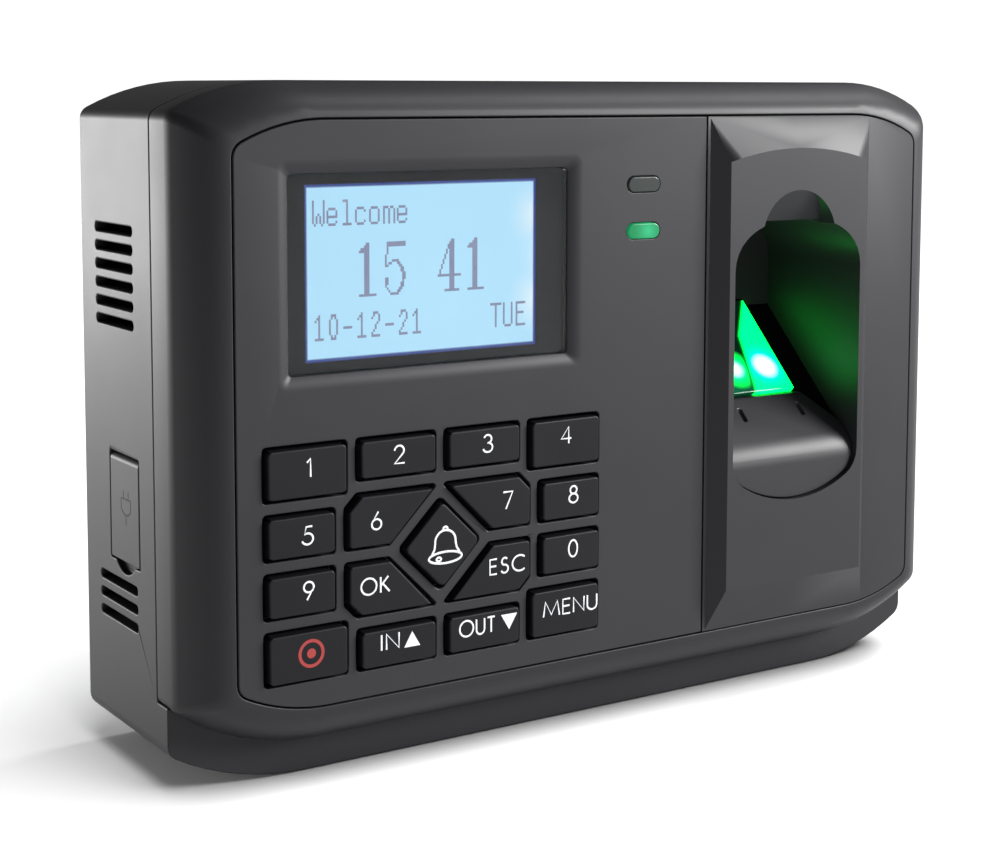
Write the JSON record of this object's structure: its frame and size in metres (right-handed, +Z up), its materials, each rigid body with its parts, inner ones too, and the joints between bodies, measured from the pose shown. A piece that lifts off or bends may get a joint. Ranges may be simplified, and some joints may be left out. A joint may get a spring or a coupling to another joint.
{
  "type": "fingerprint terminal",
  "caption": "Wall-mounted access terminal with display, keypad and optical finger sensor, in a two-part case that hangs on a steel wall plate.",
  "frame": {"origin": "on the wall face, at mid width and mid height of the case", "axes": "+X runs to the right as a user faces the terminal, +Y runs into the wall, +Z runs up"},
  "size_m": [0.18, 0.052, 0.1282],
  "materials": {
    "rear_moulding": "fine textured charcoal ABS",
    "cover_moulding": "fine textured charcoal ABS",
    "panel_moulding": "fine textured charcoal ABS",
    "finger_moulding": "fine textured charcoal ABS",
    "guide_moulding": "satin dark grey ABS",
    "housing_moulding": "matt black",
    "prism": "polished optical prism, lit green from inside",
    "camera_body": "black",
    "circuit_board": "green solder mask",
    "window": "hard-coated clear acrylic",
    "plated_steel": "bright nickel plate",
    "lit_glass": "display glass, lit pale blue",
    "light_guide": "white light guide",
    "key_moulding": "satin black key cap with white legend",
    "silicone": "grey silicone rubber",
    "lens_grey": "frosted lens, unlit",
    "lens_green": "frosted lens, lit green",
    "led_body": "white LED package",
    "chip_resin": "black epoxy",
    "cell_can": "steel coin cell",
    "holder_moulding": "black nylon",
    "buzzer_moulding": "black",
    "terminal_moulding": "green nylon",
    "door_moulding": "fine textured charcoal ABS",
    "pin_steel": "drawn steel",
    "switch_moulding": "black",
    "plunger_moulding": "natural acetal",
    "spring_steel": "spring wire",
    "flat_cable": "white flat cable",
    "plate_steel": "zinc-plated sheet steel",
    "black_screw": "black oxide",
    "zinc_screw": "zinc-plated"
  },
  "bodies": {
    "case": {"rear_case": "rear_moulding", "front_cover": "cover_moulding", "front_panel": "panel_moulding", "finger_cover": "finger_moulding", "finger_guide": "guide_moulding", "sensor_housing": "housing_moulding", "sensor_prism": "prism", "sensor_camera": "camera_body", "sensor_board": "circuit_board", "display_window": "window", "display_frame": "plated_steel", "display_glass": "lit_glass", "display_backlight": "light_guide", "display_board": "circuit_board", "keypad_mat": "silicone", "keypad_board": "circuit_board", "status_lens_upper": "lens_grey", "status_lens_lower": "lens_green", "status_leds": "led_body", "main_board": "circuit_board", "processor": "chip_resin", "memory_chips": "chip_resin", "backup_battery": "cell_can", "battery_holder": "holder_moulding", "buzzer": "buzzer_moulding", "network_socket": "plated_steel", "power_terminals": "terminal_moulding", "lock_terminals": "terminal_moulding", "usb_socket": "plated_steel", "door_pin": "pin_steel", "tamper_switch": "switch_moulding", "tamper_spring": "spring_steel", "panel_ribbon": "flat_cable", "sensor_ribbon": "flat_cable", "wall_plate": "plate_steel", "wall_hooks": "plated_steel", "case_screws": "black_screw", "board_screws": "zinc_screw", "panel_screws": "zinc_screw", "plate_screw": "black_screw"},
    "key_1": {"key_1": "key_moulding"},
    "key_2": {"key_2": "key_moulding"},
    "key_3": {"key_3": "key_moulding"},
    "key_4": {"key_4": "key_moulding"},
    "key_5": {"key_5": "key_moulding"},
    "key_6": {"key_6": "key_moulding"},
    "key_7": {"key_7": "key_moulding"},
    "key_8": {"key_8": "key_moulding"},
    "key_9": {"key_9": "key_moulding"},
    "key_ok": {"key_ok": "key_moulding"},
    "key_esc": {"key_esc": "key_moulding"},
    "key_0": {"key_0": "key_moulding"},
    "key_power": {"key_power": "key_moulding"},
    "key_in": {"key_in": "key_moulding"},
    "key_out": {"key_out": "key_moulding"},
    "key_menu": {"key_menu": "key_moulding"},
    "key_bell": {"key_bell": "key_moulding"},
    "usb_door": {"usb_door": "door_moulding"},
    "tamper_plunger": {"tamper_plunger": "plunger_moulding"}
  },
  "joints": [
    {"name": "key_1_press", "type": "slide", "parent": "case", "child": "key_1", "axis": [0, 1, 0], "range_m": [0, 0.0009], "stiffness_N_per_m": 1200},
    {"name": "key_2_press", "type": "slide", "parent": "case", "child": "key_2", "axis": [0, 1, 0], "range_m": [0, 0.0009], "stiffness_N_per_m": 1200},
    {"name": "key_3_press", "type": "slide", "parent": "case", "child": "key_3", "axis": [0, 1, 0], "range_m": [0, 0.0009], "stiffness_N_per_m": 1200},
    {"name": "key_4_press", "type": "slide", "parent": "case", "child": "key_4", "axis": [0, 1, 0], "range_m": [0, 0.0009], "stiffness_N_per_m": 1200},
    {"name": "key_5_press", "type": "slide", "parent": "case", "child": "key_5", "axis": [0, 1, 0], "range_m": [0, 0.0009], "stiffness_N_per_m": 1200},
    {"name": "key_6_press", "type": "slide", "parent": "case", "child": "key_6", "axis": [0, 1, 0], "range_m": [0, 0.0009], "stiffness_N_per_m": 1200},
    {"name": "key_7_press", "type": "slide", "parent": "case", "child": "key_7", "axis": [0, 1, 0], "range_m": [0, 0.0009], "stiffness_N_per_m": 1200},
    {"name": "key_8_press", "type": "slide", "parent": "case", "child": "key_8", "axis": [0, 1, 0], "range_m": [0, 0.0009], "stiffness_N_per_m": 1200},
    {"name": "key_9_press", "type": "slide", "parent": "case", "child": "key_9", "axis": [0, 1, 0], "range_m": [0, 0.0009], "stiffness_N_per_m": 1200},
    {"name": "key_ok_press", "type": "slide", "parent": "case", "child": "key_ok", "axis": [0, 1, 0], "range_m": [0, 0.0009], "stiffness_N_per_m": 1200},
    {"name": "key_esc_press", "type": "slide", "parent": "case", "child": "key_esc", "axis": [0, 1, 0], "range_m": [0, 0.0009], "stiffness_N_per_m": 1200},
    {"name": "key_0_press", "type": "slide", "parent": "case", "child": "key_0", "axis": [0, 1, 0], "range_m": [0, 0.0009], "stiffness_N_per_m": 1200},
    {"name": "key_power_press", "type": "slide", "parent": "case", "child": "key_power", "axis": [0, 1, 0], "range_m": [0, 0.0009], "stiffness_N_per_m": 1200},
    {"name": "key_in_press", "type": "slide", "parent": "case", "child": "key_in", "axis": [0, 1, 0], "range_m": [0, 0.0009], "stiffness_N_per_m": 1200},
    {"name": "key_out_press", "type": "slide", "parent": "case", "child": "key_out", "axis": [0, 1, 0], "range_m": [0, 0.0009], "stiffness_N_per_m": 1200},
    {"name": "key_menu_press", "type": "slide", "parent": "case", "child": "key_menu", "axis": [0, 1, 0], "range_m": [0, 0.0009], "stiffness_N_per_m": 1200},
    {"name": "key_bell_press", "type": "slide", "parent": "case", "child": "key_bell", "axis": [0, 1, 0], "range_m": [0, 0.0009], "stiffness_N_per_m": 1200},
    {"name": "usb_door_hinge", "type": "hinge", "parent": "case", "child": "usb_door", "pos_m": [-0.08875, -0.02, -0.0063], "axis": [0, 1, 0], "range_deg": [0, 95]},
    {"name": "tamper_plunger_press", "type": "slide", "parent": "case", "child": "tamper_plunger", "axis": [0, -1, 0], "range_m": [0, 0.0015], "stiffness_N_per_m": 300}
  ]
}
